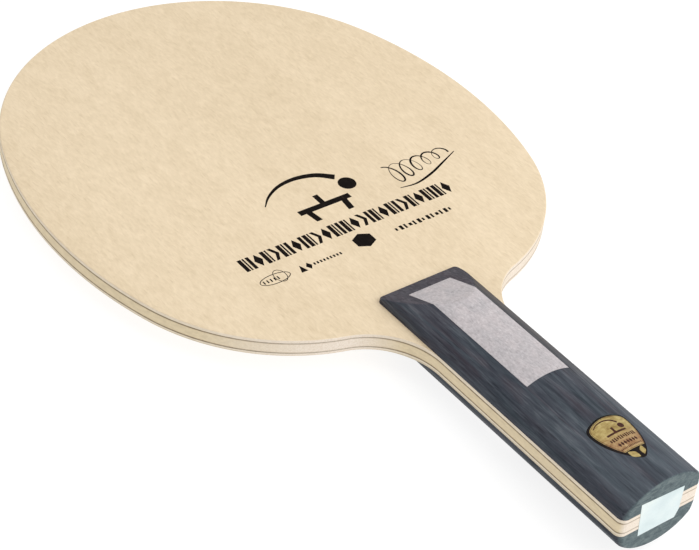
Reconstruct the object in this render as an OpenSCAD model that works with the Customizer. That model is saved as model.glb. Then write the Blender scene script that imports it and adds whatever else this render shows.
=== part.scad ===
// Table tennis blade: a seven-ply wood and fibre laminate with a straight glued handle.
// The handle runs along Y with the head towards +Y. The front face looks up, along +Z,
// and the origin is the middle of the whole object.

/* [Head] */
// Length of the head, from its tip to the front of the handle
head_l = 157; // [150:1:162]
// Width of the head at its widest
head_w = 150; // [147:1:156]
// Radius of the outline round the tip
tip_r = 71.6; // [68:0.2:72.4]
// Radius of the outline down each side
side_r = 121; // [112:1:135]
// Angle that the side arc turns inwards below the widest point
side_turn = 17.6; // [15:0.2:19]
// Radius of the outline where the head closes towards the handle
heel_r = 58; // [54:0.5:62]
// Radius of the hollow where the head runs into the handle
neck_r = 22; // [18:0.5:26]

/* [Laminate] */
// Thickness of the core ply
core_t = 3.1; // [2.6:0.1:4]
// Thickness of each fibre ply
fibre_t = 0.2; // [0.12:0.02:0.3]
// Thickness of each inner ply
inner_t = 0.6; // [0.4:0.05:1]
// Thickness of each face ply under the handle
face_t = 0.55; // [0.4:0.05:1]
// How much thinner each face ply is sanded on the playing area
finish_sand = 0.05; // [0.04:0.01:0.1]

/* [Handle] */
// Length of the handle
grip_l = 100; // [96:1:108]
// Width of the handle
grip_w = 28; // [26:0.5:30]
// Thickness of the handle over both scales
grip_t = 23; // [21:0.5:25]
// Radius of the rounding along the sides of each scale
shoulder_r = 5.5; // [4.5:0.1:6]
// Height of the upright lip at the front of each scale
lip_h = 1.2; // [0.8:0.1:2]
// Slope of the bevel that rises from the lip
bevel_angle = 21; // [16:0.5:30]
// Radius of the upright corners at the front of each scale
corner_r = 1.3; // [0.6:0.1:2]
// Radius of the upright corners at the end of the handle
butt_r = 2.2; // [1:0.1:3]

/* [Inlay] */
// Width of the panel let into each scale
inlay_w = 14.8; // [10:0.1:18]
// Length of the panel
inlay_l = 49; // [30:1:55]
// Distance from the front of the scale to the panel
inlay_setback = 5.1; // [4:0.1:8]
// Thickness of wood left under the panel
inlay_floor = 1.8; // [1:0.1:2.2]

/* [Badge] */
// Width of the badge
badge_w = 13.2; // [10:0.1:14]
// Length of the badge
badge_l = 17.8; // [15:0.1:18]
// Distance from the end of the handle to the badge's wide end, which points at the head
badge_set = 26.1; // [24:0.1:32]
// Distance from the wide end to where the badge is widest
badge_wide = 3.6; // [3:0.1:5]
// Radius of the badge's wide end
badge_top_r = 13; // [10:0.5:16]
// Radius of the badge's two long sides
badge_side_r = 19; // [18:0.5:24]
// Thickness of the badge's plate
plate_t = 0.4; // [0.3:0.05:0.6]
// Thickness of the foil on the plate
foil_t = 0.1; // [0.06:0.01:0.15]
// Mean width of the plate's border round the foil
badge_rim = 0.6; // [0.5:0.05:1.2]
// How far the foil lies to the right of the plate's middle, which narrows the border there
foil_shift = 0.25; // [0:0.05:0.3]
// Length of the plate left bare at the badge's tip
badge_bare = 4.6; // [3:0.1:6]

/* [End label] */
// Width of the label on the end of the handle
label_w = 15.3; // [10:0.1:16]
// Height of the label
label_h = 11.7; // [8:0.1:13]
// Distance of the label's middle to the right of the blade's middle
label_x = -0.55; // [-1:0.05:1]
// Height of the label's middle above the middle of the blade
label_z = 0.3; // [-1:0.1:1]
// Thickness of the label
label_t = 0.15; // [0.1:0.01:0.2]
// How much the hand-cut top edge falls towards the right
label_fall = 1; // [0:0.1:2]
// How much the left edge leans inwards towards the bottom
label_lean = 1.3; // [0:0.1:2]
// Width of the piece clipped off the label's lower right corner
label_clip_w = 1.1; // [0.5:0.1:3]
// Height of the piece clipped off the corner
label_clip_h = 3; // [1:0.1:4]

/* [Hidden] */
$fn = 96;
// How far a chord of an outline may fall inside its arc
chord_sag = 0.01;

// Colours
limba = [0.91, 0.84, 0.71];
inner_wood = [0.88, 0.80, 0.67];
core_wood = [0.80, 0.70, 0.54];
fibre_grey = [0.45, 0.41, 0.36];
dyed_wood = [0.22, 0.26, 0.30];
inlay_grey = [0.76, 0.74, 0.75];
plate_black = [0.05, 0.04, 0.04];
foil_gold = [0.80, 0.70, 0.42];
label_white = [0.93, 0.96, 0.96];

// Places along the handle
overall_l = head_l + grip_l;
tip_y = overall_l / 2;
grip_front = tip_y - head_l;
butt_y = -overall_l / 2;
grip_half = grip_w / 2;

// Heights in the laminate
fibre_z = core_t / 2;
inner_z = fibre_z + fibre_t;
face_z = inner_z + inner_t;
top_z = face_z + face_t;
sanded_t = face_t - finish_sand;
pad_margin = 0.2;

// Unit vector at an angle turned clockwise from +Y
function heading(a) = [sin(a), cos(a)];

// Centres of the arcs down the right-hand side of the outline. Neighbouring arcs
// share a tangent where they meet.
side_x = head_w / 2 - side_r;
tip_c = [0, tip_y - tip_r];
tip_turn = asin(-side_x / (side_r - tip_r));
side_c = tip_c - (side_r - tip_r) * heading(tip_turn);
heel_turn = 90 + side_turn;
heel_c = side_c + (side_r - heel_r) * heading(heel_turn);
neck_x = grip_half + neck_r;
neck_drop = sqrt(pow(heel_r + neck_r, 2) - pow(neck_x - heel_c.x, 2));
neck_c = [neck_x, heel_c.y - neck_drop];
neck_turn = 90 + atan2(neck_drop, neck_x - heel_c.x);

// Section of a scale, from the laminate up
scale_h = grip_t / 2 - top_z;
shoulder_x = grip_half - shoulder_r;
dome_r = (pow(shoulder_x, 2) + pow(scale_h, 2) - pow(shoulder_r, 2)) / (2 * (scale_h - shoulder_r));
dome_z = scale_h - dome_r;
dome_turn = atan2(shoulder_x, -dome_z);

// Inlay and badge
inlay_front = grip_front - inlay_setback;
inlay_back = inlay_front - inlay_l;
badge_top = butt_y + badge_set;
badge_recess = plate_t + foil_t;

// Points along an arc about c, from angle a0 to a1 clockwise from +Y, leaving out its first point
function arc(c, r, a0, a1) =
    let (n = ceil(abs(a1 - a0) / (2 * acos(1 - chord_sag / r))))
    [for (i = [1:n]) c + r * heading(a0 + (a1 - a0) * i / n)];

// Closed outline from a top point on the Y axis and the points down its right-hand side
function both_sides(top, right) =
    concat([[0, top]], right, [for (i = [len(right) - 1:-1:0]) [-right[i].x, right[i].y]]);

// Rectangle on the Y axis from y0 up to y1, with rounded corners of the handle's two radii
module strip(w, y0, y1) {
    polygon(both_sides(y1, concat(
        [[w / 2 - corner_r, y1]],
        arc([w / 2 - corner_r, y1 - corner_r], corner_r, 0, 90),
        [[w / 2, y0 + butt_r]],
        arc([w / 2 - butt_r, y0 + butt_r], butt_r, 90, 180)
    )));
}

module blade_plan() {
    polygon(both_sides(tip_y, concat(
        arc(tip_c, tip_r, 0, tip_turn),
        arc(side_c, side_r, tip_turn, heel_turn),
        arc(heel_c, heel_r, heel_turn, neck_turn),
        arc(neck_c, neck_r, neck_turn + 180, 270),
        [[grip_half, butt_y + butt_r]],
        arc([grip_half - butt_r, butt_y + butt_r], butt_r, 90, 180)
    )));
}

// One flat ply of the blade's full outline
module ply(z, t) {
    translate([0, 0, z]) linear_extrude(t) blade_plan();
}

// A face ply stays at full thickness in a pad under the handle
module face_ply() {
    ply(face_z, sanded_t);
    translate([0, 0, face_z]) linear_extrude(face_t) intersection() {
        blade_plan();
        strip(grip_w + 2 * pad_margin, butt_y - 2 * butt_r, grip_front + pad_margin);
    }
}

module scale_section() {
    polygon(both_sides(scale_h, concat(
        arc([0, dome_z], dome_r, 0, dome_turn),
        arc([shoulder_x, 0], shoulder_r, dome_turn, 90)
    )));
}

// Bar with a section drawn in X and Z, from y0 up to y1
module bar(y0, y1) {
    translate([0, y1, 0]) rotate([90, 0, 0]) linear_extrude(y1 - y0) children();
}

// The whole front scale before the inlay and badge are let in
module scale_blank() {
    rise = scale_h / tan(bevel_angle);
    over = 2;
    drop = over * tan(bevel_angle);
    difference() {
        intersection() {
            translate([0, 0, top_z]) bar(butt_y, grip_front) scale_section();
            translate([0, 0, top_z]) linear_extrude(scale_h) strip(grip_w, butt_y, grip_front);
        }
        translate([-grip_half - over, grip_front, top_z + lip_h]) rotate([90, 0, 90])
            linear_extrude(grip_w + 2 * over)
                polygon([[over, -drop], [over, scale_h], [-rise, scale_h]]);
    }
}

module inlay_block() {
    translate([-inlay_w / 2, inlay_back, top_z + inlay_floor]) cube([inlay_w, inlay_l, scale_h]);
}

// Shield outline, drawn inset by a margin
module badge_plan(inset) {
    side_x = badge_side_r - badge_w / 2;
    intersection() {
        translate([0, badge_top]) circle(badge_l - inset);
        translate([0, badge_top - badge_top_r]) circle(badge_top_r - inset);
        translate([side_x, badge_top - badge_wide]) circle(badge_side_r - inset);
        translate([-side_x, badge_top - badge_wide]) circle(badge_side_r - inset);
    }
}

// Skin of the dome between two depths below its surface, inside an outline
module dome_skin(deep, shallow) {
    intersection() {
        linear_extrude(grip_t) children();
        translate([0, 0, top_z + dome_z]) rotate([90, 0, 0]) difference() {
            cylinder(h = overall_l, r = dome_r - shallow);
            cylinder(h = overall_l, r = dome_r - deep);
        }
    }
}

module core_ply() {
    color(core_wood) ply(-core_t / 2, core_t);
}

module front_fibre_ply() {
    color(fibre_grey) ply(fibre_z, fibre_t);
}

module back_fibre_ply() {
    color(fibre_grey) mirror([0, 0, 1]) ply(fibre_z, fibre_t);
}

module front_inner_ply() {
    color(inner_wood) ply(inner_z, inner_t);
}

module back_inner_ply() {
    color(inner_wood) mirror([0, 0, 1]) ply(inner_z, inner_t);
}

module front_face_ply() {
    color(limba) face_ply();
}

module back_face_ply() {
    color(limba) mirror([0, 0, 1]) face_ply();
}

module front_handle_scale() {
    color(dyed_wood) difference() {
        scale_blank();
        inlay_block();
        dome_skin(badge_recess, -1) badge_plan(0);
    }
}

module back_handle_scale() {
    color(dyed_wood) mirror([0, 0, 1]) difference() {
        scale_blank();
        inlay_block();
    }
}

module handle_inlay() {
    intersection() {
        scale_blank();
        inlay_block();
    }
}

module front_handle_inlay() {
    color(inlay_grey) handle_inlay();
}

module back_handle_inlay() {
    color(inlay_grey) mirror([0, 0, 1]) handle_inlay();
}

module badge_plate() {
    color(plate_black) dome_skin(badge_recess, foil_t) badge_plan(0);
}

module badge_foil() {
    color(foil_gold) dome_skin(foil_t, 0) intersection() {
        translate([foil_shift, 0]) badge_plan(badge_rim);
        translate([-badge_w, badge_top - badge_l + badge_bare]) square([2 * badge_w, badge_l]);
    }
}

module end_label() {
    w = label_w / 2;
    h = label_h / 2;
    color(label_white) translate([label_x, 0, label_z]) bar(butt_y - label_t, butt_y) polygon([
        [label_lean - w, -h], [w - label_clip_w, -h], [w, label_clip_h - h],
        [w, h - label_fall], [-w, h],
    ]);
}

core_ply();
front_fibre_ply();
back_fibre_ply();
front_inner_ply();
back_inner_ply();
front_face_ply();
back_face_ply();
front_handle_scale();
back_handle_scale();
front_handle_inlay();
back_handle_inlay();
badge_plate();
badge_foil();
end_label();
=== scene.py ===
import math
import random

import bmesh
import bpy
from mathutils import Matrix, Vector


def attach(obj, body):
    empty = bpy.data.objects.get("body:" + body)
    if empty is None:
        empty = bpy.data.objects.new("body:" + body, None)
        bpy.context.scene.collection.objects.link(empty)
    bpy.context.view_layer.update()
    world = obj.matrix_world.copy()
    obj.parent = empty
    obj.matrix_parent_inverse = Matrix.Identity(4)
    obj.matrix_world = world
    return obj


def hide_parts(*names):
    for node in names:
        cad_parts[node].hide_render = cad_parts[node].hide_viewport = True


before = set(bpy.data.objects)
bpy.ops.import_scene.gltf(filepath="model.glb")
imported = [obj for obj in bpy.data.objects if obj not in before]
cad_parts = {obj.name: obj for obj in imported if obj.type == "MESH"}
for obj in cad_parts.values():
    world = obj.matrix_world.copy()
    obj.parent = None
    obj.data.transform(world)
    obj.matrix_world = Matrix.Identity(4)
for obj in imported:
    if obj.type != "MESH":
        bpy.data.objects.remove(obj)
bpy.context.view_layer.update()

# Everything below is written in millimetres and turned into metres when a mesh is made.
MM = 0.001

# ---------------------------------------------------------------- sizes, as in the CAD source
HEAD_L, HEAD_W = 157.0, 150.0
TIP_R, SIDE_R, SIDE_TURN, HEEL_R, NECK_R = 71.6, 121.0, 17.6, 58.0, 22.0
CORE_T, FIBRE_T, INNER_T, FACE_T, SAND_T = 3.1, 0.2, 0.6, 0.55, 0.05
GRIP_L, GRIP_W, GRIP_T = 100.0, 28.0, 23.0
SHOULDER_R, LIP_H, BEVEL, CORNER_R, BUTT_R = 5.5, 1.2, math.radians(21), 1.3, 2.2
INLAY_W, INLAY_L, INLAY_SETBACK, INLAY_FLOOR = 14.8, 49.0, 5.1, 1.8
BADGE_W, BADGE_L, BADGE_SET, BADGE_WIDE = 13.2, 17.8, 26.1, 3.6
BADGE_TOP_R, BADGE_SIDE_R, PLATE_T, FOIL_T = 13.0, 19.0, 0.4, 0.1
BADGE_RIM, FOIL_SHIFT, BADGE_BARE = 0.6, 0.25, 4.6
LABEL_W, LABEL_H, LABEL_X, LABEL_Z = 15.3, 11.7, -0.55, 0.3
LABEL_FALL, LABEL_LEAN, LABEL_CLIP_W, LABEL_CLIP_H = 1.0, 1.3, 1.1, 3.0

TIP_Y = (HEAD_L + GRIP_L) / 2
GRIP_FRONT = TIP_Y - HEAD_L
BUTT_Y = -TIP_Y
GRIP_HALF = GRIP_W / 2
FIBRE_Z = CORE_T / 2
INNER_Z = FIBRE_Z + FIBRE_T
FACE_Z = INNER_Z + INNER_T
TOP_Z = FACE_Z + FACE_T
PLAY_Z = TOP_Z - SAND_T
SCALE_H = GRIP_T / 2 - TOP_Z
SHOULDER_X = GRIP_HALF - SHOULDER_R
DOME_R = (SHOULDER_X ** 2 + SCALE_H ** 2 - SHOULDER_R ** 2) / (2 * (SCALE_H - SHOULDER_R))
DOME_Z = SCALE_H - DOME_R
DOME_TURN = math.degrees(math.atan2(SHOULDER_X, -DOME_Z))
INLAY_FRONT = GRIP_FRONT - INLAY_SETBACK
BADGE_TOP = BUTT_Y + BADGE_SET

# How far the visible outline is eased inside the CAD outline, whose arcs are chords
EASE = 0.012
# How far a chord of the visible outline may fall inside its arc, and the step along straight lines
CHORD_SAG = 0.0015
LINE_STEP = 2.0
# Edges that turn by less than this are shaded smooth
SMOOTH_ANGLE = math.radians(32)


def heading(deg):
    """Unit vector at an angle turned clockwise from +Y."""
    a = math.radians(deg)
    return Vector((math.sin(a), math.cos(a)))


# ---------------------------------------------------------------- outline of the blade
def arc(c, r, a0, a1, side=1):
    """Points along an arc, each with its outward normal, leaving out the first."""
    n = math.ceil(abs(a1 - a0) / (2 * math.degrees(math.acos(1 - CHORD_SAG / r))))
    out = []
    for i in range(1, n + 1):
        h = heading(a0 + (a1 - a0) * i / n)
        out.append((c + r * h, h * side))
    return out


def straight(p, q, normal):
    """Points along a straight line, each with its normal, leaving out the first."""
    n = max(1, math.ceil((q - p).length / LINE_STEP))
    return [(p.lerp(q, i / n), normal.copy()) for i in range(1, n + 1)]


def right_side():
    """The outline from the tip, clockwise, down to the middle of the butt."""
    side_x = HEAD_W / 2 - SIDE_R
    tip_c = Vector((0, TIP_Y - TIP_R))
    tip_turn = math.degrees(math.asin(-side_x / (SIDE_R - TIP_R)))
    side_c = tip_c - (SIDE_R - TIP_R) * heading(tip_turn)
    heel_turn = 90 + SIDE_TURN
    heel_c = side_c + (SIDE_R - HEEL_R) * heading(heel_turn)
    neck_x = GRIP_HALF + NECK_R
    drop = math.sqrt((HEEL_R + NECK_R) ** 2 - (neck_x - heel_c.x) ** 2)
    neck_c = Vector((neck_x, heel_c.y - drop))
    neck_turn = 90 + math.degrees(math.atan2(drop, neck_x - heel_c.x))
    corner = Vector((GRIP_HALF - BUTT_R, BUTT_Y + BUTT_R))
    run = [(Vector((0, TIP_Y)), heading(0))]
    run += arc(tip_c, TIP_R, 0, tip_turn)
    run += arc(side_c, SIDE_R, tip_turn, heel_turn)
    run += arc(heel_c, HEEL_R, heel_turn, neck_turn)
    run += arc(neck_c, NECK_R, neck_turn + 180, 270, side=-1)
    run += straight(run[-1][0], Vector((GRIP_HALF, corner.y)), heading(90))
    run += arc(corner, BUTT_R, 90, 180)
    run += straight(run[-1][0], Vector((0, BUTT_Y)), heading(180))
    return run


def smooth(lo, hi, x):
    """Rises softly from 0 at lo to 1 at hi."""
    t = min(1.0, max(0.0, (x - lo) / (hi - lo)))
    return t * t * (3 - 2 * t)


def both_sides(right):
    """A closed loop from the points down its right-hand side, first and last on the Y axis."""
    left = [(Vector((-p.x, p.y)), Vector((-n.x, n.y))) for p, n in reversed(right[1:-1])]
    return right + left


BLADE = both_sides(right_side())


# ---------------------------------------------------------------- mesh making
def new_object(name, mesh):
    obj = bpy.data.objects.new(name, mesh)
    bpy.context.scene.collection.objects.link(obj)
    return obj


def solid(name, verts, faces):
    """A mesh object from millimetre points, with outward normals and soft shading."""
    mesh = bpy.data.meshes.new(name)
    mesh.from_pydata([tuple(c * MM for c in v) for v in verts], [], faces)
    bm = bmesh.new()
    bm.from_mesh(mesh)
    bmesh.ops.recalc_face_normals(bm, faces=bm.faces)
    bm.to_mesh(mesh)
    bm.free()
    shade(mesh)
    return new_object(name, mesh)


def shade(mesh):
    mesh.shade_smooth()
    mesh.set_sharp_from_angle(angle=SMOOTH_ANGLE)


def loft(loop, rings):
    """Points and faces of a closed solid. Each ring is (inset, inset by weight, z, z by weight)."""
    n = len(loop)
    verts, faces = [], []
    for inset, by_weight, z, z_weight in rings:
        for p, normal, w in loop:
            q = p - normal * (inset + by_weight * w)
            verts.append((q.x, q.y, z + z_weight * w))
    for j in range(len(rings) - 1):
        for i in range(n):
            k = (i + 1) % n
            faces.append((j * n + i, j * n + k, (j + 1) * n + k, (j + 1) * n + i))
    faces.append(tuple(range(n)))
    faces.append(tuple(range((len(rings) - 1) * n, len(rings) * n)))
    return verts, faces


def flip(verts):
    """The same points mirrored to the back of the blade."""
    return [(x, y, -z) for x, y, z in verts]


def join(*parts):
    """One list of points and faces from several."""
    verts, faces = [], []
    for v, f in parts:
        base = len(verts)
        verts += v
        faces += [tuple(i + base for i in face) for face in f]
    return verts, faces


def finish_piece(obj, material, replaces=()):
    """Gives a piece its material and tells the frame what it rides on and replaces."""
    obj.data.materials.clear()
    obj.data.materials.append(material)
    for poly in obj.data.polygons:
        poly.material_index = 0
    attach(obj, "root")
    if replaces:
        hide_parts(*replaces)


# ---------------------------------------------------------------- the plies
# Radius of the sanded arris round the head's faces, where it fades out along the neck,
# the least share of it that stays, and the number of steps round it
ARRIS_R = 0.42
ARRIS_FADE = (-47.5, -39.0)
ARRIS_LEAST = 0.03
ARRIS_STEPS = 8
# Width of the broken arris of a ply, and how far in from the edge lie the narrow flat ring behind
# a rounded arris and the last ring of every ply
MICRO = 0.022
FLAT_RING = 0.06
FACE_INSET = 0.3
# The pad left unsanded under the scales: how far it reaches beyond them, how far it is eased in,
# how deep it is let into the face and how far its arris is broken
PAD_MARGIN = 0.2
PAD_EASE = 0.03
PAD_DEPTH = 0.2
PAD_ARRIS = 0.02
# The pad follows only the points of the blade's outline that lie below this
PAD_BELOW_Y = -40.0


def ply_loop():
    """The outline with a weight for each point: 1 where the head's edge is rounded over."""
    return [(p, n, ARRIS_LEAST + (1 - ARRIS_LEAST) * smooth(*ARRIS_FADE, p.y)) for p, n in BLADE]


def plain_ply(z0, z1, recess=0.0):
    """A ply with tiny broken arrises, which leave a hairline between it and its neighbours."""
    e = EASE + recess
    return loft(ply_loop(), [
        (e + FACE_INSET, 0, z0, 0), (e + MICRO, 0, z0, 0), (e, 0, z0 + MICRO, 0),
        (e, 0, z1 - MICRO, 0), (e + MICRO, 0, z1, 0), (e + FACE_INSET, 0, z1, 0),
    ])


def face_ply():
    """The outer ply, its arris rounded over round the head, and its unsanded pad under the handle."""
    rings = [(EASE + FACE_INSET, 0, FACE_Z, 0), (EASE + MICRO, 0, FACE_Z, 0),
             (EASE, 0, FACE_Z + MICRO, 0)]
    for i in range(ARRIS_STEPS + 1):
        a = math.radians(90 * i / ARRIS_STEPS)
        rings.append((EASE, ARRIS_R * (1 - math.cos(a)), PLAY_Z, -ARRIS_R * (1 - math.sin(a))))
    rings.append((EASE + FLAT_RING, ARRIS_R, PLAY_Z, 0))
    rings.append((EASE + FACE_INSET, ARRIS_R, PLAY_Z, 0))
    x, y = GRIP_HALF + PAD_MARGIN, GRIP_FRONT + PAD_MARGIN
    corner = Vector((x - CORNER_R, y - CORNER_R))
    start = Vector((0, y))
    run = [(start, heading(0))] + straight(start, Vector((corner.x, y)), heading(0))
    run += arc(corner, CORNER_R, 0, 90)
    run += [(p, n) for p, n in right_side() if p.y < PAD_BELOW_Y and p.x <= x]
    pad = [(p, n, 0) for p, n in both_sides(run)]
    return join(loft(ply_loop(), rings), loft(pad, [
        (PAD_EASE, 0, PLAY_Z - PAD_DEPTH, 0), (PAD_EASE, 0, TOP_Z - PAD_ARRIS, 0),
        (PAD_EASE + PAD_ARRIS, 0, TOP_Z, 0), (PAD_EASE + FACE_INSET, 0, TOP_Z, 0),
    ]))


# ---------------------------------------------------------------- the handle scales
# Radius of the arris at each end of the scale's top, and between which angles of the section
# it grows into the radius of the upright corners
END_R_TOP = 0.55
END_BLEND = (20, 85)
# Radius of the lip's arris, and of the rounding between the bevel and the section
LIP_R = 0.35
ARRIS_SOFT = 0.45
# Columns of the mesh across the bevel, round the section and across the softened edge
FLAT_COLS, CURVE_COLS, FILLET_COLS = 14, 56, 4
# Halvings that find where the bevel meets the section
HALVINGS = 60
# Rows of the mesh along the scale: angle between rows round an end, rows behind the lip, where
# they start and how far apart they are, rows up the bevel, and where the rows along the handle
# start behind the bevel, how far apart they are and how many radii before the butt they stop
ROUND_STEP = 6
LIP_ROWS, LIP_START, LIP_STEP = 12, 0.28, 0.1
BEVEL_ROWS = 56
LONG_START, LONG_STEP, LONG_STOP = 0.6, 4.0, 1.2
# Distances closer than this count as the same
TINY = 1e-7


def section(a, inset):
    """Point (x, z) of the scale's section at an angle from straight up, z from the laminate."""
    h = heading(a)
    if a <= DOME_TURN:
        return (DOME_R - inset) * h.x, DOME_Z + (DOME_R - inset) * h.y
    return SHOULDER_X + (SHOULDER_R - inset) * h.x, (SHOULDER_R - inset) * h.y


def end_inset(a, d, side_r):
    """Inset of the section at a distance from an end of the handle, for the rounded end arris."""
    r = END_R_TOP + (side_r - END_R_TOP) * smooth(*END_BLEND, a)
    return r - math.sqrt(r * r - (r - d) ** 2) if d < r else 0.0


def section_at(a, d_front, d_butt):
    """Point of the section at distances from the scale's front and from the butt."""
    inset = EASE + max(end_inset(a, d_front, CORNER_R), end_inset(a, d_butt, BUTT_R))
    return section(a, inset)


def bevel_top(d):
    """Height of the bevelled front at a distance from the front, with the lip's arris rounded."""
    t = math.tan(BEVEL)
    zc = LIP_H + LIP_R * t - LIP_R / math.cos(BEVEL)
    if d < LIP_R * (1 - math.sin(BEVEL)):
        return zc + math.sqrt(max(0.0, LIP_R ** 2 - (LIP_R - d) ** 2))
    return LIP_H + d * t


def half_row(d_front, d_butt):
    """Points (x, z) across half the scale at one station, from the middle to the base."""
    def point(a):
        return section_at(a, d_front, d_butt)

    cols = FILLET_COLS + CURVE_COLS
    top = bevel_top(d_front)
    if top >= point(0)[1] - TINY:
        return None, [point(90 * i / cols) for i in range(cols + 1)]
    lo, hi = 0.0, 90.0
    for _ in range(HALVINGS):
        mid = (lo + hi) / 2
        if point(mid)[1] > top:
            lo = mid
        else:
            hi = mid
    a = hi
    xj, zj = point(a)
    r = DOME_R if a <= DOME_TURN else SHOULDER_R
    soft = min(ARRIS_SOFT * math.tan(math.radians(a) / 2), xj * 0.5)
    a1 = min(89.0, a + math.degrees(soft / r))
    x0 = xj - soft
    x1, z1 = point(a1)
    flat = [(x0 * i / FLAT_COLS, top) for i in range(FLAT_COLS)]
    curve = []
    for i in range(FILLET_COLS):
        t = i / FILLET_COLS
        curve.append((
            (1 - t) ** 2 * x0 + 2 * t * (1 - t) * xj + t * t * x1,
            (1 - t) ** 2 * top + 2 * t * (1 - t) * zj + t * t * z1,
        ))
    curve += [point(a1 + (90 - a1) * i / CURVE_COLS) for i in range(CURVE_COLS + 1)]
    return flat, curve


def stations():
    """Distances from the front of the scale, close together where its shape changes."""
    apex = (SCALE_H - LIP_H) / math.tan(BEVEL)
    lip_rows = math.ceil((90 - math.degrees(BEVEL)) / ROUND_STEP)
    out = [LIP_R * (1 - math.cos(math.radians(ROUND_STEP * i))) for i in range(lip_rows)]
    out += [LIP_START + LIP_STEP * i for i in range(LIP_ROWS)]
    first = out[-1]
    out += [apex - (apex - first) * (1 - i / BEVEL_ROWS) ** 2 for i in range(1, BEVEL_ROWS + 1)]
    long_rows = [apex + LONG_START + LONG_STEP * i for i in range(int(GRIP_L / LONG_STEP))]
    out += [d for d in long_rows if d < GRIP_L - LONG_STOP * BUTT_R]
    quarter = 90 // ROUND_STEP
    out += [GRIP_L - BUTT_R * (1 - math.cos(math.radians(ROUND_STEP * i))) for i in range(quarter, -1, -1)]
    return sorted(set(round(d, 6) for d in out if 0 <= d <= GRIP_L))


def scale_blank():
    """The whole front scale before anything is let into it, as points and faces."""
    verts, rows = [], []
    for d in stations():
        flat, curve = half_row(d, GRIP_L - d)
        y = GRIP_FRONT - d
        y = min(max(y, BUTT_Y + EASE), GRIP_FRONT - EASE)
        right = []
        if flat is None:
            verts.append((curve[0][0], y, TOP_Z + curve[0][1]))
            right += [len(verts) - 1] * (FLAT_COLS + 1)
            curve = curve[1:]
        for x, z in (flat or []) + curve:
            verts.append((x, y, TOP_Z + z))
            right.append(len(verts) - 1)
        left = []
        for i in right[1:]:
            x, _, z = verts[i]
            if x < TINY:
                left.append(i)
            elif left and i == right[right.index(i) - 1]:
                left.append(left[-1])
            else:
                verts.append((-x, y, z))
                left.append(len(verts) - 1)
        rows.append(list(reversed(left)) + right)
    faces = []
    for a, b in zip(rows, rows[1:]):
        for i in range(len(a) - 1):
            face = []
            for v in (a[i], a[i + 1], b[i + 1], b[i]):
                if v not in face:
                    face.append(v)
            if len(face) > 2:
                faces.append(tuple(face))
    for row in (rows[0], rows[-1]):
        faces.append(tuple(dict.fromkeys(row)))
    faces.append(tuple([row[0] for row in rows] + [row[-1] for row in reversed(rows)]))
    return verts, faces


def box_solid(x0, x1, y0, y1, z0, z1):
    verts = [(x, y, z) for z in (z0, z1) for x, y in ((x0, y0), (x1, y0), (x1, y1), (x0, y1))]
    faces = [(0, 1, 2, 3), (4, 5, 6, 7), (0, 1, 5, 4), (1, 2, 6, 5), (2, 3, 7, 6), (3, 0, 4, 7)]
    return verts, faces


def boolean(obj, cutter, operation):
    """Applies one boolean to a piece and removes the cutter."""
    mod = obj.modifiers.new("cut", "BOOLEAN")
    mod.operation = operation
    mod.solver = "EXACT"
    mod.object = cutter
    dg = bpy.context.evaluated_depsgraph_get()
    mesh = bpy.data.meshes.new_from_object(obj.evaluated_get(dg))
    obj.modifiers.clear()
    obj.data = mesh
    mesh.name = obj.name
    bpy.data.objects.remove(cutter)
    shade(mesh)


# Gap drawn round the inlay, and how far a cutter stands out above the scale
INLAY_GAP = 0.03
CUTTER_OVER = 2


def inlay_box(slack):
    """The space of the inlay, drawn in on each side by a slack."""
    w = INLAY_W / 2 - slack
    return box_solid(-w, w, INLAY_FRONT - INLAY_L + slack, INLAY_FRONT - slack,
                     TOP_Z + INLAY_FLOOR + slack, TOP_Z + SCALE_H + CUTTER_OVER)


# ---------------------------------------------------------------- the badge
# Middle that the badge's outline is measured from, and the number of points round it
BADGE_C = Vector((0, BADGE_TOP - 7.6))
BADGE_SEGS = 192
# How firmly the outline keeps to its arcs: a lower power rounds its corners more
BADGE_POWER = 15
# Rings of a badge layer's top and of its underside, as shares of the way out from its middle
TOP_SHARES = (0.8, 0.55, 0.3, 0.1)
FLOOR_SHARES = (1.0, 0.55, 0.1)


def badge_reach(a):
    """Distance from the badge's middle to its outline along a heading, with its corners rounded."""
    u = heading(a)
    side_x = BADGE_SIDE_R - BADGE_W / 2
    total = 0.0
    for c, r in (
        (Vector((0, BADGE_TOP)), BADGE_L),
        (Vector((0, BADGE_TOP - BADGE_TOP_R)), BADGE_TOP_R),
        (Vector((side_x, BADGE_TOP - BADGE_WIDE)), BADGE_SIDE_R),
        (Vector((-side_x, BADGE_TOP - BADGE_WIDE)), BADGE_SIDE_R),
    ):
        m = BADGE_C - c
        along = -u.dot(m) + math.sqrt(u.dot(m) ** 2 - m.length_squared + r * r)
        total += along ** -BADGE_POWER
    return total ** (-1 / BADGE_POWER)


def on_dome(p, depth):
    """Point on the handle's dome at a depth below its surface."""
    return (p.x, p.y, TOP_Z + DOME_Z + math.sqrt((DOME_R - depth) ** 2 - p.x ** 2))


def badge_loop(inset, cut=None, shift=0.0):
    """The badge's outline drawn in by an inset, and cut off straight at a y if one is given."""
    pts = []
    middle = BADGE_C + Vector((shift, 0))
    for i in range(BADGE_SEGS):
        a = 360 * i / BADGE_SEGS
        u = heading(a)
        r = badge_reach(a) - inset
        if cut is not None and u.y < 0:
            r = min(r, (cut - BADGE_C.y) / u.y)
        pts.append(middle + r * u)
    return pts


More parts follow.
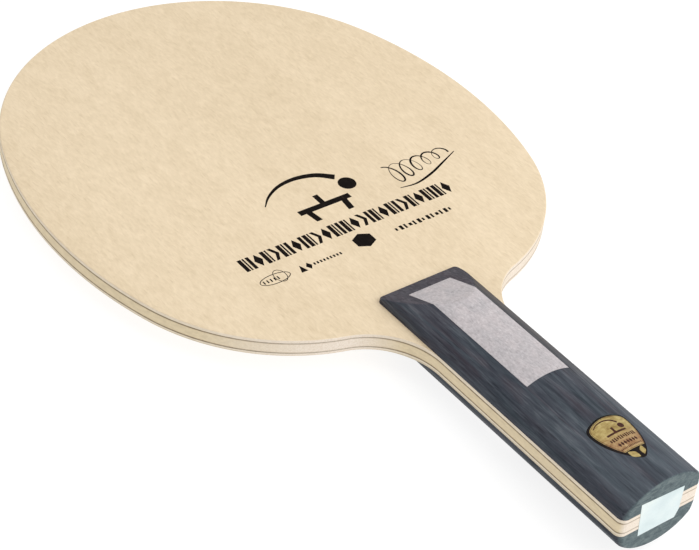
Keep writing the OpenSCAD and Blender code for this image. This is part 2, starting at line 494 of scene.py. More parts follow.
def dome_disc(loop, centre, rim, floor):
    """Closed solid on the dome inside a loop: rim is [(inset, depth)], floor its underside's depth."""
    verts, faces = [], []
    n = len(loop)
    for inset, depth in rim:
        for p in loop:
            q = p - (p - centre).normalized() * inset
            verts.append(on_dome(q, depth))
    inset, top_depth = rim[-1]
    for share in TOP_SHARES:
        for p in loop:
            q = p - (p - centre).normalized() * inset
            verts.append(on_dome(centre + (q - centre) * share, top_depth))
    verts.append(on_dome(centre, top_depth))
    rings = len(rim) + len(TOP_SHARES)
    for j in range(rings - 1):
        for i in range(n):
            k = (i + 1) % n
            faces.append((j * n + i, j * n + k, (j + 1) * n + k, (j + 1) * n + i))
    for i in range(n):
        faces.append(((rings - 1) * n + i, (rings - 1) * n + (i + 1) % n, rings * n))
    base = len(verts)
    for share in FLOOR_SHARES:
        for p in loop:
            q = p - (p - centre).normalized() * rim[0][0]
            verts.append(on_dome(centre + (q - centre) * share, floor))
    verts.append(on_dome(centre, floor))
    for i in range(n):
        k = (i + 1) % n
        faces.append((i, k, base + k, base + i))
        for j in range(len(FLOOR_SHARES) - 1):
            near, far = base + j * n, base + (j + 1) * n
            faces.append((near + i, near + k, far + k, far + i))
        faces.append((far + i, far + k, far + n))
    return verts, faces


def badge_cutter():
    """Prism that cuts the badge's recess, its floor curved like the dome."""
    loop = badge_loop(EASE)
    n = len(loop)
    verts, faces = [], []
    for share in FLOOR_SHARES:
        for p in loop:
            verts.append(on_dome(BADGE_C + (p - BADGE_C) * share, PLATE_T + FOIL_T))
    verts.append(on_dome(BADGE_C, PLATE_T + FOIL_T))
    for i in range(n):
        k = (i + 1) % n
        for j in range(len(FLOOR_SHARES) - 1):
            faces.append((j * n + i, j * n + k, (j + 1) * n + k, (j + 1) * n + i))
        faces.append(((j + 1) * n + i, (j + 1) * n + k, (j + 2) * n))
    base = len(verts)
    for p in loop:
        verts.append((p.x, p.y, GRIP_T / 2 + CUTTER_OVER))
    for i in range(n):
        k = (i + 1) % n
        faces.append((i, k, base + k, base + i))
    faces.append(tuple(base + i for i in range(n)))
    return verts, faces


# ---------------------------------------------------------------- strokes and prints
def stroke(path, width, z0, z1, place=None):
    """Closed ribbon along a path of (x, y). width is a number or a function of the share of the path."""
    pts = [Vector(p) for p in path]
    n = len(pts)
    verts, faces = [], []
    for i, p in enumerate(pts):
        d = (pts[min(i + 1, n - 1)] - pts[max(i - 1, 0)]).normalized()
        side = Vector((-d.y, d.x))
        w = (width(i / (n - 1)) if callable(width) else width) / 2
        for s, z in ((1, z0), (-1, z0), (-1, z1), (1, z1)):
            q = p + side * (s * w)
            verts.append(place(q, z) if place else (q.x, q.y, z))
    for i in range(n - 1):
        for k in range(4):
            m = (k + 1) % 4
            faces.append((4 * i + k, 4 * i + m, 4 * i + 4 + m, 4 * i + 4 + k))
    faces += [(0, 1, 2, 3), tuple(4 * (n - 1) + k for k in range(4))]
    return verts, faces


def patch(loop, z0, z1, place=None):
    """Closed flat solid inside a loop of (x, y). One given a place follows the curve it lies on."""
    pts = [Vector(p) for p in loop]
    n = len(pts)
    verts = []
    for z in (z0, z1):
        for p in pts:
            verts.append(place(p, z) if place else (p.x, p.y, z))
    faces = [(i, (i + 1) % n, n + (i + 1) % n, n + i) for i in range(n)]
    if not place:
        return verts, faces + [tuple(range(n)), tuple(range(n, 2 * n))]
    middle = sum(pts, Vector((0, 0))) / n
    for j, z in enumerate((z0, z1)):
        base = len(verts)
        for p in pts:
            verts.append(place((p + middle) / 2, z))
        verts.append(place(middle, z))
        for i in range(n):
            k = (i + 1) % n
            faces.append((j * n + i, j * n + k, base + k, base + i))
            faces.append((base + i, base + k, base + n))
    return verts, faces


def ring_path(cx, cy, rx, ry, steps=48):
    """Points round an ellipse, the first one repeated at the end."""
    return [(cx + rx * heading(360 * i / steps).x,
             cy + ry * heading(360 * i / steps).y) for i in range(steps + 1)]


def spline(points, per=10):
    """Smooth path through points."""
    pts = [Vector(p) for p in points]
    pts = [pts[0] * 2 - pts[1]] + pts + [pts[-1] * 2 - pts[-2]]
    out = []
    for i in range(1, len(pts) - 2):
        p0, p1, p2, p3 = pts[i - 1:i + 3]
        for j in range(per):
            t = j / per
            out.append(0.5 * ((2 * p1) + (p2 - p0) * t + (2 * p0 - 5 * p1 + 4 * p2 - p3) * t * t
                              + (3 * p1 - p0 - 3 * p2 + p3) * t ** 3))
    return out + [pts[-2]]


# Bottom and top of the ink, and how much higher a mark lies that crosses another one
INK_LO, INK_HI = PLAY_Z - 0.01, PLAY_Z + 0.01
OVER = 0.001


def bar(x0, y0, x1, y1, slant=0.0):
    """Four corners of an upright bar, its top moved along by a slant."""
    return [(x0, y0), (x1, y0), (x1 + slant, y1), (x0 + slant, y1)]


def print_emblem():
    """A plain pictogram: a ball on its flight over a table."""
    flight = spline([(-16.0, 21.6), (-12.4, 25.0), (-7.0, 27.7), (-0.6, 28.4), (5.8, 26.8),
                     (10.4, 23.2)], 14)
    parts = [
        stroke(flight, lambda t: 0.35 + 2.05 * t, INK_LO, INK_HI),
        patch(ring_path(11.8, 19.0, 2.8, 2.8)[:-1], INK_LO, INK_HI + OVER),
        patch(bar(-9.4, 13.0, 9.0, 15.1), INK_LO, INK_HI),
        patch(bar(-6.9, 8.6, -4.9, 13.1, -0.6), INK_LO, INK_HI + OVER),
        patch(bar(4.6, 8.6, 6.6, 13.1, 0.6), INK_LO, INK_HI + OVER),
        patch(bar(-1.1, 15.0, 0.7, 19.0), INK_LO, INK_HI + OVER),
    ]
    return join(*parts)


def print_flourish():
    """A thin scroll of loops with a tail under it."""
    pts = []
    turns, steps = 5.4, 189
    for i in range(steps + 1):
        t = i / steps
        a = 2 * math.pi * turns * t
        pts.append((25.2 + 22.0 * t + 2.4 * math.sin(a) * (1 - 0.35 * t),
                    15.4 + 2.2 * t + 4.6 * math.cos(a) * (1 - 0.62 * t)))
    tail = spline([(24.2, 9.2), (30.0, 8.6), (37.0, 10.3), (43.5, 12.9), (50.0, 15.6)], 12)
    return join(
        stroke(pts, lambda t: 0.42 + 0.22 * math.sin(27 * t), INK_LO, INK_HI),
        stroke(tail, lambda t: 0.25 + 0.55 * math.sin(math.pi * t), INK_LO, INK_HI + OVER),
    )


def print_band():
    """A border of bars, diamonds and chevrons across the head."""
    parts = []
    y0, y1 = 0.0, 5.5
    mid = (y0 + y1) / 2
    half = 37.6
    x = -half
    # Thick and thin bar, single bar, diamond and chevron
    kinds = "bidbcbidibcdbibdcibdbicbdbibd"
    widths = {"b": 2.2, "i": 1.2, "d": 2.7, "c": 2.5}
    gap = (2 * half - sum(widths[k] for k in kinds)) / (len(kinds) - 1)
    for k in kinds:
        w = widths[k]
        if k == "b":
            parts.append(patch(bar(x, y0, x + 1.3, y1), INK_LO, INK_HI))
            parts.append(patch(bar(x + 1.65, y0, x + w, y1), INK_LO, INK_HI))
        elif k == "i":
            parts.append(patch(bar(x + 0.05, y0, x + w - 0.05, y1), INK_LO, INK_HI))
        elif k == "d":
            c = x + w / 2
            parts.append(patch([(c, y0), (x + w, mid), (c, y1), (x, mid)], INK_LO, INK_HI))
        else:
            parts.append(patch([(x, y0), (x + 1.1, y0), (x + w, mid), (x + 1.1, y1), (x, y1),
                                (x + 1.3, mid)], INK_LO, INK_HI))
        x += w + gap
    return join(*parts)


def print_small():
    """The small marks under the border: a hexagon, rows of bars, ellipses, a triangle, a lozenge."""
    hexagon = [(-0.4 + 3.7 * heading(60 * i).x, -5.0 + 3.2 * heading(60 * i).y) for i in range(6)]
    parts = [patch(hexagon, INK_LO, INK_HI)]
    for i in range(13):
        x = 10.4 + i * 1.65
        h = 0.95 if i % 3 else 0.6
        parts.append(patch(bar(x, -5.9 - h, x + (1.05 if i % 2 else 0.7), -5.9 + h), INK_LO, INK_HI))
    parts.append(stroke(ring_path(-32.6, -6.2, 5.0, 1.9), 0.26, INK_LO, INK_HI))
    parts.append(stroke(ring_path(-30.6, -5.8, 1.8, 2.6), 0.22, INK_LO, INK_HI + OVER))
    for i in range(5):
        x = -36.6 + i * 1.2
        parts.append(patch(bar(x, -6.9, x + 0.45, -5.6), INK_LO, INK_HI + 2 * OVER))
    parts.append(patch([(-24.6, -7.9), (-22.4, -7.9), (-23.5, -4.9)], INK_LO, INK_HI))
    parts.append(patch([(-21.0, -7.9), (-20.0, -6.4), (-21.0, -4.9), (-22.0, -6.4)], INK_LO, INK_HI))
    for i in range(9):
        x = -19.4 + i * 1.15
        parts.append(patch(bar(x, -6.9, x + 0.6, -5.9), INK_LO, INK_HI))
    return join(*parts)


# ---------------------------------------------------------------- node materials
class Graph:
    """A node material, with short calls for the nodes used here."""

    def __init__(self, name):
        self.mat = bpy.data.materials.new(name)
        self.mat.use_nodes = True
        self.tree = self.mat.node_tree
        self.tree.nodes.clear()
        self.coords = self.node("ShaderNodeTexCoord")
        self.where = self.coords.outputs["Object"]

    def node(self, kind, inputs=None, **attrs):
        made = self.tree.nodes.new(kind)
        for key, value in attrs.items():
            setattr(made, key, value)
        for key, value in (inputs or {}).items():
            if isinstance(value, bpy.types.NodeSocket):
                self.tree.links.new(value, made.inputs[key])
            else:
                made.inputs[key].default_value = value
        return made

    def stretch(self, scale, shift):
        """Object coordinates in repeats per metre along X, Y and Z."""
        return self.node("ShaderNodeMapping", {
            "Vector": self.where, "Scale": scale, "Location": shift,
        }).outputs[0]

    def noise(self, scale, detail, rough, warp=0.0, shift=(0, 0, 0)):
        return self.node("ShaderNodeTexNoise", {
            "Vector": self.stretch(scale, shift), "Scale": 1.0,
            "Detail": detail, "Roughness": rough, "Distortion": warp,
        }).outputs[0]

    def cells(self, scale, shift=(0, 0, 0)):
        return self.node("ShaderNodeTexVoronoi", {"Vector": self.stretch(scale, shift), "Scale": 1.0})

    def pores(self, scale, shift, edge, core):
        """Dashes in about half of the cells, which fade in from an edge distance to a core distance."""
        cell = self.cells(scale, shift)
        pick = self.node("ShaderNodeSeparateColor", {"Color": cell.outputs["Color"]}).outputs[0]
        dash = self.span(cell.outputs["Distance"], edge, core)
        return self.times(dash, self.maths("GREATER_THAN", pick, 0.5))

    def span(self, value, lo, hi, to_lo=0.0, to_hi=1.0):
        return self.node("ShaderNodeMapRange", {
            "Value": value, "From Min": lo, "From Max": hi, "To Min": to_lo, "To Max": to_hi,
        }).outputs[0]

    def maths(self, operation, a, b=0.0):
        return self.node("ShaderNodeMath", {0: a, 1: b}, operation=operation).outputs[0]

    def times(self, a, b):
        return self.maths("MULTIPLY", a, b)

    def weighted(self, *terms):
        """Sum of values, each times its weight."""
        total = self.times(*terms[0])
        for term in terms[1:]:
            total = self.maths("ADD", total, self.times(*term))
        return total

    def place(self, axis):
        """Position along one axis, in metres."""
        return self.node("ShaderNodeSeparateXYZ", {"Vector": self.where}).outputs[axis]

    def facing(self, axis):
        """How far the surface faces along one axis."""
        normal = self.coords.outputs["Normal"]
        return self.node("ShaderNodeSeparateXYZ", {"Vector": normal}).outputs[axis]

    def at_butt(self):
        """1 on surfaces that face along -Y, where end grain shows."""
        return self.span(self.times(self.facing(1), -1.0), 0.55, 0.95)

    def mix(self, share, a, b):
        made = self.node("ShaderNodeMix", data_type="RGBA")
        for socket, value in ((made.inputs[0], share), (made.inputs[6], a), (made.inputs[7], b)):
            if isinstance(value, bpy.types.NodeSocket):
                self.tree.links.new(value, socket)
            else:
                socket.default_value = value
        return made.outputs[2]

    def ramp(self, value, stops):
        made = self.node("ShaderNodeValToRGB", {"Fac": value})
        band = made.color_ramp
        while len(band.elements) < len(stops):
            band.elements.new(0.5)
        for element, (at, colour) in zip(band.elements, stops):
            element.position = at
            element.color = colour
        return made.outputs[0]

    def bump(self, height, depth_mm):
        """Surface relief of a real depth."""
        return self.node("ShaderNodeBump", {
            "Height": height, "Distance": depth_mm * MM, "Strength": 1.0,
        }).outputs[0]

    def shade(self, inputs):
        shader = self.node("ShaderNodeBsdfPrincipled", inputs)
        out = self.node("ShaderNodeOutputMaterial")
        self.tree.links.new(shader.outputs[0], out.inputs["Surface"])
        return self.mat

    def surface(self, colour, rough, specular, relief, metallic=0.0):
        """A finished surface. rough is (value, roughness where low, where high), relief (height, mm)."""
        value, low, high = rough
        return self.shade({
            "Base Color": colour, "Metallic": metallic, "Specular IOR Level": specular,
            "Roughness": self.span(value, 0.3, 0.7, low, high), "Normal": self.bump(*relief),
        })


def rgb(r, g, b):
    """A colour given as 0 to 255 values on screen, turned into light."""
    def lin(c):
        c /= 255
        return c / 12.92 if c <= 0.04045 else ((c + 0.055) / 1.055) ** 2.4
    return (lin(r), lin(g), lin(b), 1.0)


def pale_wood(name, light, dark, pore, shift, pore_share, edge, glue=None):
    """Sanded pale wood with its grain along Y: bands, fine fibres, mottling and open pores.

    edge is the tone of the wood's sides. glue is (height of the glue line, where its stain has
    faded), in mm from the middle of the blade.
    """
    g = Graph(name)
    bands = g.noise((46, 5, 46), 4, 0.55, 0.6, shift=(shift, 0, 0))
    mottle = g.noise((1000, 330, 1000), 3, 0.6, 0.5, shift=(0, shift, 0))
    fine = g.noise((2600, 700, 2600), 2, 0.5, 0.3)
    clouds = g.noise((190, 130, 190), 3, 0.55, 0.8, shift=(shift, shift, 0))
    tone = g.weighted((bands, 0.22), (mottle, 0.36), (clouds, 0.22), (fine, 0.2))
    colour = g.ramp(g.span(tone, 0.36, 0.64), [(0.0, dark), (1.0, light)])
    pores = g.pores((1250, 210, 1250), (shift, 0, 0), 0.32, 0.12)
    colour = g.mix(g.times(pores, pore_share), colour, pore)
    sideways = g.span(g.maths("ABSOLUTE", g.facing(2)), 0.75, 0.25)
    side_tone = g.mix(g.span(mottle, 0.35, 0.65), tuple(0.88 * c for c in edge[:3]) + (1.0,), edge)
    colour = g.mix(g.times(sideways, 0.8), colour, side_tone)
    end_tone = g.mix(g.span(fine, 0.35, 0.65), rgb(227, 212, 194), rgb(239, 227, 213))
    at_end = g.at_butt()
    colour = g.mix(at_end, colour, end_tone)
    if glue:
        height = g.maths("ABSOLUTE", g.place(2))
        uneven = g.noise((700, 700, 700), 2, 0.5)
        stain = g.span(height, glue[1] * MM, glue[0] * MM)
        stain = g.times(stain, g.span(uneven, 0.3, 0.7, 0.55, 0.9))
        stain = g.times(stain, g.span(at_end, 0.0, 1.0, 1.0, 0.4))
        colour = g.mix(stain, colour, rgb(132, 108, 78))
    relief = g.maths("SUBTRACT", g.weighted((mottle, 0.5), (fine, 0.5)), pores)
    return g.surface(colour, (tone, 0.68, 0.52), 0.25, (relief, 0.012))


def dyed_wood_material(name, shift, depth=1.0):
    """Dyed, satin-finished wood with broken streaks along Y and paler sanded end grain. A depth below 1
    darkens the colours of the long grain and the bevel as painted shade.
    """
    g = Graph(name)

    # Scales a dyed colour by depth; below 1 this darkens it as painted shade
    def dye_and_shade(*screen):
        return tuple(c * depth for c in rgb(*screen)[:3]) + (1.0,)

    broad = g.noise((190, 16, 190), 4, 0.6, 0.5, shift=(shift, 0, 0))
    streak = g.noise((900, 62, 900), 4, 0.62, 0.8, shift=(0, shift, 0))
    fine = g.noise((2600, 240, 2600), 2, 0.55, 0.3)
    tint = g.noise((300, 32, 300), 3, 0.5, 1.0, shift=(0, 0, shift))
    tone = g.weighted((broad, 0.34), (streak, 0.48), (fine, 0.18))
    long_grain = g.ramp(g.span(tone, 0.34, 0.66), [
        (0.0, dye_and_shade(25, 28, 36)), (0.35, dye_and_shade(50, 54, 63)), (0.65, dye_and_shade(72, 77, 85)), (1.0, dye_and_shade(105, 109, 115)),
    ])
    hue = g.ramp(g.span(tint, 0.32, 0.68), [
        (0.0, dye_and_shade(76, 60, 66)), (0.42, dye_and_shade(62, 65, 74)), (0.7, dye_and_shade(58, 67, 74)), (1.0, dye_and_shade(53, 69, 75)),
    ])
    long_grain = g.mix(0.28, long_grain, hue)
    pores = g.pores((1300, 130, 1300), (shift, 0, 0), 0.34, 0.16)
    long_grain = g.mix(g.times(pores, 0.45), long_grain, rgb(18, 21, 28))
    # The finish is rubbed a little paler towards the end of the handle
    along = g.place(1)
    rubbed = g.times(g.span(along, -0.09, -0.122), g.span(broad, 0.3, 0.7, 0.08, 0.3))
    rubbed = g.times(rubbed, g.span(g.maths("ABSOLUTE", g.facing(2)), 0.4, 0.8))
    long_grain = g.mix(rubbed, long_grain, dye_and_shade(102, 112, 120))
    # One long edge, beside the panel, is browner
    brown = g.times(g.span(g.facing(0), 0.25, 0.55), g.span(along, -0.095, -0.07))
    brown = g.times(brown, g.span(streak, 0.35, 0.65, 0.6, 0.85))
    long_grain = g.mix(brown, long_grain, dye_and_shade(70, 63, 61))
    # End grain: rings of paler wood with small open dots
    rings = g.noise((420, 40, 900), 4, 0.65, 0.8, shift=(shift, 0, 0))
    dots = g.cells((2400, 60, 2400))
    end = g.ramp(g.span(rings, 0.32, 0.68), [
        (0.0, rgb(70, 82, 86)), (0.5, rgb(92, 106, 109)), (1.0, rgb(112, 124, 124)),
    ])
    end_pores = g.span(dots.outputs["Distance"], 0.3, 0.1)
    end = g.mix(g.times(end_pores, 0.35), end, rgb(56, 62, 68))
    # The bevel is warmer
    sloping = g.times(g.span(g.facing(1), 0.15, 0.35), 0.55)
    bevel_tone = g.mix(g.span(streak, 0.35, 0.65), dye_and_shade(60, 54, 62), dye_and_shade(84, 76, 84))
    long_grain = g.mix(sloping, long_grain, bevel_tone)
    return g.surface(g.mix(g.at_butt(), long_grain, end), (tone, 0.62, 0.46), 0.16,
                     (g.maths("SUBTRACT", g.times(streak, 0.7), pores), 0.02))


def inlay_material():
    """Grey dyed veneer with a fine fleck."""
    g = Graph("grey_fleck_veneer")
    fleck = g.noise((1500, 1000, 1500), 3, 0.7, 0.5)
    grain = g.noise((2600, 500, 2600), 2, 0.5)
    cloud = g.noise((330, 200, 330), 3, 0.5)
    tone = g.weighted((fleck, 0.58), (grain, 0.27), (cloud, 0.15))
    colour = g.ramp(g.span(tone, 0.34, 0.66), [
        (0.0, rgb(148, 141, 142)), (0.4, rgb(176, 170, 171)), (0.7, rgb(192, 186, 187)),
        (1.0, rgb(210, 205, 204)),
    ])
    warm = g.ramp(g.span(cloud, 0.35, 0.65), [(0.0, rgb(176, 174, 178)), (1.0, rgb(194, 184, 186))])
    colour = g.mix(0.3, colour, warm)
    return g.surface(colour, (tone, 0.6, 0.48), 0.2, (g.maths("ADD", fleck, grain), 0.008))


def fibre_material():
    """Resin-bonded woven fibre, seen as a thin edge."""
    g = Graph("fibre_cloth_edge")
    weave = g.noise((1800, 1800, 4000), 2, 0.6)
    broad = g.noise((120, 120, 120), 2, 0.5)
    tone = g.weighted((weave, 0.6), (broad, 0.4))
    colour = g.ramp(g.span(tone, 0.35, 0.65), [
        (0.0, rgb(90, 75, 56)), (0.5, rgb(120, 103, 80)), (1.0, rgb(152, 134, 108)),
    ])
    colour = g.mix(g.times(g.at_butt(), 0.7), colour, rgb(206, 194, 178))
    return g.surface(colour, (weave, 0.7, 0.5), 0.15, (weave, 0.02))


def ink_material():
    """Black print that breaks up a little where the grain is open."""
    g = Graph("black_print")
    worn = g.noise((3000, 260, 3000), 3, 0.6)
    patchy = g.noise((700, 400, 700), 2, 0.5)
    tone = g.weighted((worn, 0.6), (patchy, 0.4))
    colour = g.ramp(g.span(tone, 0.42, 0.74), [
        (0.0, rgb(12, 7, 5)), (0.6, rgb(22, 15, 12)), (1.0, rgb(62, 49, 37)),
    ])
    return g.surface(colour, (worn, 0.6, 0.46), 0.05, (worn, 0.008))


def badge_black_material():
    """Black enamel with a faint haze."""
    g = Graph("badge_black_enamel")
    haze = g.noise((500, 500, 500), 3, 0.6)
    fine = g.noise((4000, 1200, 4000), 2, 0.5)
    colour = g.ramp(g.span(haze, 0.35, 0.7), [(0.0, rgb(14, 9, 8)), (1.0, rgb(30, 20, 18))])
    return g.surface(colour, (fine, 0.3, 0.45), 0.12, (haze, 0.006))


def badge_gold_material():
    """Dull gold foil, warmer and rubbed towards the badge's tip."""
    g = Graph("badge_gold_foil")
    brushed = g.noise((500, 2600, 500), 3, 0.6)
    cloud = g.noise((420, 420, 420), 3, 0.6, 0.6)
    tone = g.weighted((brushed, 0.4), (cloud, 0.6))
    place = g.place(1)
    low = g.span(place, (BADGE_TOP - 5.4) * MM, (BADGE_TOP - 9.6) * MM)
    tip = g.span(place, (BADGE_TOP - 12.4) * MM, (BADGE_TOP - 13.6) * MM)
    colour = g.ramp(g.span(tone, 0.34, 0.66), [
        (0.0, rgb(138, 114, 64)), (0.5, rgb(172, 151, 94)), (1.0, rgb(198, 181, 124)),
    ])
    warm = g.mix(g.span(cloud, 0.35, 0.65), rgb(142, 96, 68), rgb(182, 148, 110))
    share = g.times(low, g.maths("SUBTRACT", 1.0, tip))
    colour = g.mix(g.times(share, 0.75), colour, warm)
    return g.surface(colour, (brushed, 0.5, 0.38), 0.3, (brushed, 0.004), metallic=0.25)


def badge_brown_material():
    """Dark brown print, a little worn."""
    g = Graph("badge_brown_print")
    worn = g.noise((2400, 2400, 2400), 3, 0.6)
    colour = g.ramp(g.span(worn, 0.35, 0.7), [(0.0, rgb(44, 20, 15)), (1.0, rgb(84, 46, 34))])
    return g.surface(colour, (worn, 0.5, 0.35), 0.15, (worn, 0.004))


def label_material():
    """Matt coated paper with a faint mottle and soft creases."""
    g = Graph("label_paper")
    pulp = g.noise((1500, 1500, 1500), 3, 0.6)
    crease = g.noise((190, 190, 190), 3, 0.5, 1.2)
    stain = g.noise((110, 110, 110), 3, 0.5)
    colour = g.ramp(g.span(stain, 0.3, 0.7), [
        (0.0, rgb(208, 222, 223)), (0.5, rgb(221, 233, 233)), (1.0, rgb(229, 238, 235)),
    ])
    colour = g.mix(g.span(pulp, 0.3, 0.7, 0.0, 0.12), colour, rgb(176, 190, 192))
    return g.surface(colour, (pulp, 0.65, 0.5), 0.25,
                     (g.maths("ADD", crease, g.times(pulp, 0.1)), 0.05))


LIMBA = (rgb(233, 214, 184), rgb(213, 193, 161), rgb(166, 138, 98))
FACE_WOOD = pale_wood("face_limba_wood", *LIMBA, 0.0, 0.14, rgb(234, 221, 203))
# The back face veneer is the same wood as the front one; its darker edge tone is painted shade
BACK_WOOD_SHADED_EDGE = pale_wood("back_limba_wood_shaded_edge", *LIMBA, 3.7, 0.14, rgb(208, 196, 174))
INNER_WOOD = pale_wood("inner_ply_wood", rgb(236, 222, 200), rgb(220, 204, 178), rgb(182, 158, 120), 7.1,
                       0.25, rgb(234, 221, 198), glue=(INNER_Z, INNER_Z + 0.24))
CORE_WOOD = pale_wood("core_ply_wood", rgb(226, 210, 174), rgb(202, 182, 142), rgb(160, 132, 92), 11.3,
                      0.35, rgb(228, 210, 176), glue=(FIBRE_Z, FIBRE_Z - 0.3))
DYED = dyed_wood_material("dyed_handle_wood", 0.0)
# The back scale is the same wood as the front one, its colours darkened to 0.8 as painted shade for the
# underside
DYED_BACK_SHADED = dyed_wood_material("dyed_handle_wood_back_shaded", 5.3, 0.8)
INLAY = inlay_material()
FIBRE = fibre_material()
INK = ink_material()
BADGE_BLACK = badge_black_material()
BADGE_GOLD = badge_gold_material()
BADGE_BROWN = badge_brown_material()
PAPER = label_material()


# ---------------------------------------------------------------- pieces
def ply_piece(name, made, back, material, node):
    """One ply from its points and faces, mirrored for the back."""
    verts, faces = made
    finish_piece(solid(name, flip(verts) if back else verts, faces), material, [node])


ply_piece("core_veneer", plain_ply(-FIBRE_Z, FIBRE_Z), False, CORE_WOOD, "core_ply")
for word, is_back in (("front", False), ("back", True)):
    ply_piece(word + "_fibre_cloth", plain_ply(FIBRE_Z, INNER_Z, 0.03), is_back, FIBRE,
              word + "_fibre_ply")
    ply_piece(word + "_inner_veneer", plain_ply(INNER_Z, FACE_Z), is_back, INNER_WOOD,
              word + "_inner_ply")
    ply_piece(word + "_face_veneer", face_ply(), is_back, BACK_WOOD_SHADED_EDGE if is_back else FACE_WOOD,
              word + "_face_ply")

blank_verts, blank_faces = scale_blank()
for word, is_back in (("front", False), ("back", True)):
    turn = flip if is_back else (lambda v: v)
    grip = solid(word + "_grip", turn(blank_verts), blank_faces)
    v, f = inlay_box(0.0)
    boolean(grip, solid("cutter", turn(v), f), "DIFFERENCE")
    if not is_back:
        v, f = badge_cutter()
        boolean(grip, solid("cutter", v, f), "DIFFERENCE")
    finish_piece(grip, DYED_BACK_SHADED if is_back else DYED, [word + "_handle_scale"])
    panel = solid(word + "_inlay_panel", turn(blank_verts), blank_faces)
    v, f = inlay_box(INLAY_GAP)
    boolean(panel, solid("cutter", turn(v), f), "INTERSECT")
    finish_piece(panel, INLAY, [word + "_handle_inlay"])

# The badge: a dark plate with a rounded rim, a raised gold field and generic marks
plate_rim = [(0.04, 0.34), (0.04, 0.20), (0.08, 0.13), (0.16, 0.09), (0.30, 0.08)]
v, f = dome_disc(badge_loop(EASE), BADGE_C, plate_rim, PLATE_T + FOIL_T - 0.02)
finish_piece(solid("badge_base", v, f), BADGE_BLACK, ["badge_plate"])
FIELD_C = BADGE_C + Vector((FOIL_SHIFT, 0))
FIELD_CUT = BADGE_TOP - BADGE_L + BADGE_BARE
# Depths of the tip marks' undersides and tops, and of the brown marks', below the dome
TIP_DEPTHS = (0.1, 0.05)
MARK_LO, MARK_HI = 0.05, 0.016
# Distance of the thin brown line from the field's edge
LINE_INSET = 0.22
v, f = dome_disc(badge_loop(BADGE_RIM, FIELD_CUT, FOIL_SHIFT), FIELD_C,
                 [(0.0, 0.09), (0.02, 0.05), (0.06, 0.035), (0.2, 0.03)], 0.1)
finish_piece(solid("badge_field", v, f), BADGE_GOLD, ["badge_foil"])


def on_badge(p, depth):
    """Point on the dome, given from the middle of the badge's wide end."""
    return on_dome(Vector((p.x, BADGE_TOP + p.y)), depth)


def lozenge(cx, cy, rx, ry, turn):
    """A rounded diamond with its long axis at an angle turned clockwise from +Y."""
    along, across = heading(turn), heading(turn + 90)
    pts = []
    for i in range(40):
        h = heading(9 * i)
        reach = (abs(h.x) ** 1.25 + abs(h.y) ** 1.25) ** (-1 / 1.25)
        pts.append(Vector((cx, cy)) + along * (ry * reach * h.y) + across * (rx * reach * h.x))
    return pts


v, f = join(
    patch(lozenge(-1.6, -14.95, 1.0, 1.75, -32), *TIP_DEPTHS, on_badge),
    patch(lozenge(1.45, -14.8, 0.85, 1.6, 24), *TIP_DEPTHS, on_badge),
)
finish_piece(solid("badge_tip_marks", v, f), BADGE_GOLD)
marks = [
    stroke(spline([(-4.4, -2.5), (-2.8, -1.7), (-0.4, -1.6), (1.6, -2.3), (2.8, -3.6)], 8),
           lambda t: 0.2 + 0.45 * t, MARK_LO, MARK_HI, on_badge),
    patch(ring_path(2.9, -4.9, 0.95, 0.95, steps=24)[:-1], MARK_LO, MARK_HI - OVER, on_badge),
    stroke([(-3.2 + 0.4 * i, -6.5) for i in range(17)], 0.6, MARK_LO, MARK_HI, on_badge),
    patch(bar(-0.6, -6.4, 0.1, -4.5), MARK_LO, MARK_HI - OVER, on_badge),
]
for i in range(12):
    x = -3.7 + i * 0.7
    tall = 0.62 if i % 3 else 0.42
    marks.append(patch(bar(x, -8.4 - tall, x + 0.42, -8.4 + tall), MARK_LO, MARK_HI, on_badge))
for i in range(7):
    x = -2.9 + i * 0.92
    marks.append(patch([(x, -10.5), (x + 0.42, -11.25), (x + 0.84, -10.5), (x + 0.42, -9.75)],
                       MARK_LO, MARK_HI, on_badge))
for i in range(15):
    x = -3.3 + i * 0.47
    marks.append(patch(bar(x, -12.35, x + 0.22, -11.85), MARK_LO, MARK_HI, on_badge))
inner = badge_loop(BADGE_RIM + LINE_INSET, FIELD_CUT + LINE_INSET, FOIL_SHIFT)
marks.append(stroke(inner + [inner[0]], 0.09, MARK_LO, MARK_HI + OVER, on_dome))
v, f = join(*marks)
finish_piece(solid("badge_marks", v, f), BADGE_BROWN)

# Prints on the front face
for name, made in (
    ("print_emblem", print_emblem()), ("print_flourish", print_flourish()),
    ("print_border", print_band()), ("print_small_marks", print_small()),
):
    finish_piece(solid(name, *made), INK)


# The label's visible sheet: its thickness, how far it stands off the wood, its waviness, how far
# its lower right corner lifts, and the most it may lift
SHEET_T, SHEET_OFF, SHEET_WAVE, SHEET_LIFT, LIFT_MOST = 0.07, 0.012, 0.008, 0.05, 0.07


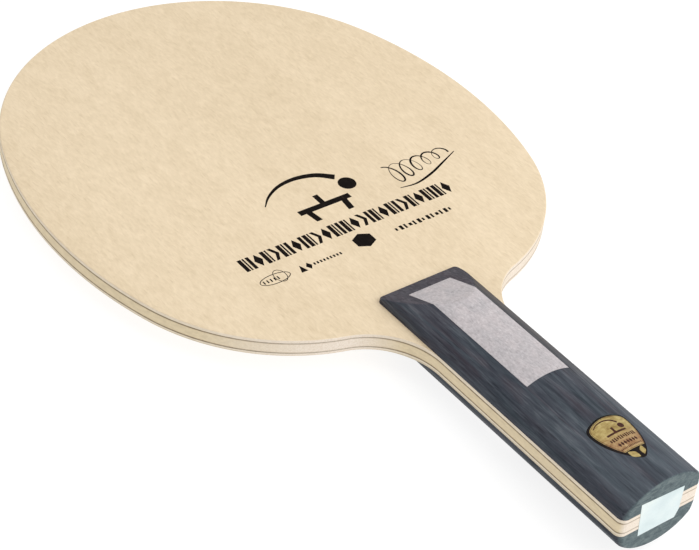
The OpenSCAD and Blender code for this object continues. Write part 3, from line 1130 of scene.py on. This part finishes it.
def label_sheet():
    """The hand-cut paper label on the butt, one corner lifting a little."""
    nx, nz = 36, 28
    w, h = LABEL_W / 2, LABEL_H / 2
    rng = random.Random(5)
    waves = [(rng.uniform(0.25, 0.6), rng.uniform(0.2, 0.5), rng.uniform(0, 6.3)) for _ in range(4)]
    verts, faces = [], []
    for side in (0, 1):
        for j in range(nz + 1):
            for i in range(nx + 1):
                low = -h + 2 * h * j / nz
                left = -w + LABEL_LEAN * (1 - j / nz)
                right = w - LABEL_CLIP_W * max(0.0, 1 - (low + h) / LABEL_CLIP_H)
                x = left + (right - left) * i / nx
                z = low - LABEL_FALL * (j / nz) * (x + w) / (2 * w)
                wave = sum(math.sin(a * x + b * z + c) for a, b, c in waves) / 4
                lift = SHEET_OFF + SHEET_WAVE * wave
                lift += SHEET_LIFT * smooth(0.4, 1.2, (x / w - z / h) / 2)
                y = BUTT_Y - min(lift, LIFT_MOST) - SHEET_T * side
                verts.append((LABEL_X + x, y, LABEL_Z + z))
    n = (nx + 1) * (nz + 1)

    def at(i, j, side):
        return side * n + j * (nx + 1) + i

    for j in range(nz):
        for i in range(nx):
            for side in (0, 1):
                faces.append((at(i, j, side), at(i + 1, j, side),
                              at(i + 1, j + 1, side), at(i, j + 1, side)))
    for i in range(nx):
        for j in (0, nz):
            faces.append((at(i, j, 0), at(i + 1, j, 0), at(i + 1, j, 1), at(i, j, 1)))
    for j in range(nz):
        for i in (0, nx):
            faces.append((at(i, j, 0), at(i, j + 1, 0), at(i, j + 1, 1), at(i, j, 1)))
    return verts, faces


finish_piece(solid("end_sticker", *label_sheet()), PAPER, ["end_label"])

# ---------------------------------------------------------------- stage, light and camera
# The floor passes under the two places the blade rests on: the back scale and the tip of the head.
rest_scale = Vector((0, GRIP_FRONT - (SCALE_H - LIP_H) / math.tan(BEVEL), -GRIP_T / 2))
rest_tip = Vector((0, TIP_Y, -PLAY_Z))
tilt = math.atan2(rest_tip.z - rest_scale.z, rest_tip.y - rest_scale.y)
floor_mesh = bpy.data.meshes.new("studio_floor")
reach = 4.0  # in metres
floor_mesh.from_pydata([(-reach, -reach, 0), (reach, -reach, 0), (reach, reach, 0), (-reach, reach, 0)],
                       [], [(0, 1, 2, 3)])
floor = new_object("studio_floor", floor_mesh)
floor_gap = Vector((0, 0, 0.02))
floor.matrix_world = (Matrix.Translation((rest_scale - floor_gap) * MM)
                      @ Matrix.Rotation(tilt, 4, "X"))
g = Graph("studio_floor_white")
speckle = g.noise((40, 40, 40), 2, 0.5)
floor.data.materials.append(g.shade({
    "Base Color": g.mix(g.span(speckle, 0.3, 0.7, 0.0, 1.0), rgb(128, 128, 128), rgb(134, 134, 134)),
    "Roughness": 0.9,
    "Specular IOR Level": 0.0,
    "Emission Color": (1.0, 1.0, 1.0, 1.0),
    "Emission Strength": 0.84,
}))

world = bpy.data.worlds.new("studio")
bpy.context.scene.world = world
world.use_nodes = True
world.node_tree.nodes["Background"].inputs["Color"].default_value = (1.0, 1.0, 1.0, 1.0)
world.node_tree.nodes["Background"].inputs["Strength"].default_value = 0.62


def area_light(name, place, aim, size, power):
    data = bpy.data.lights.new(name, "AREA")
    data.shape = "RECTANGLE"
    data.size, data.size_y = size
    data.energy = power
    obj = bpy.data.objects.new(name, data)
    bpy.context.scene.collection.objects.link(obj)
    obj.location = place
    obj.rotation_mode = "QUATERNION"
    obj.rotation_quaternion = (Vector(aim) - Vector(place)).to_track_quat("-Z", "Y")


area_light("key_softbox", (0.34, -0.6, 0.62), (0, -0.05, 0), (0.8, 0.8), 4.6)
area_light("top_softbox", (0.1, 0.1, 1.2), (0, 0, 0), (1.5, 1.5), 5.0)

# The camera stands where it gives the object's outline, ply lines and handle edges their angles
CAM_AZ, CAM_EL, CAM_ROLL = math.radians(-42.089), math.radians(38.78), math.radians(7.372)
CAM_DIST, CAM_LENS, SENSOR_W = 624.755, 114.537, 36.0
CAM_TARGET = Vector((-11.296, -12.81, 0.0))
back = Vector((math.sin(CAM_AZ) * math.cos(CAM_EL), -math.cos(CAM_AZ) * math.cos(CAM_EL), math.sin(CAM_EL)))
level = Vector((math.cos(CAM_AZ), math.sin(CAM_AZ), 0))
up = back.cross(level)
cam_x = math.cos(CAM_ROLL) * level + math.sin(CAM_ROLL) * up
cam_y = back.cross(cam_x)
cam_data = bpy.data.cameras.new("camera")
cam_data.sensor_width = SENSOR_W
cam_data.lens = CAM_LENS
cam_data.clip_start, cam_data.clip_end = 0.05, 50
camera = bpy.data.objects.new("camera", cam_data)
bpy.context.scene.collection.objects.link(camera)
turned = Matrix((cam_x, cam_y, back)).transposed().to_4x4()
camera.matrix_world = Matrix.Translation((CAM_TARGET + back * CAM_DIST) * MM) @ turned
bpy.context.scene.camera = camera
bpy.context.scene.view_settings.view_transform = "Standard"
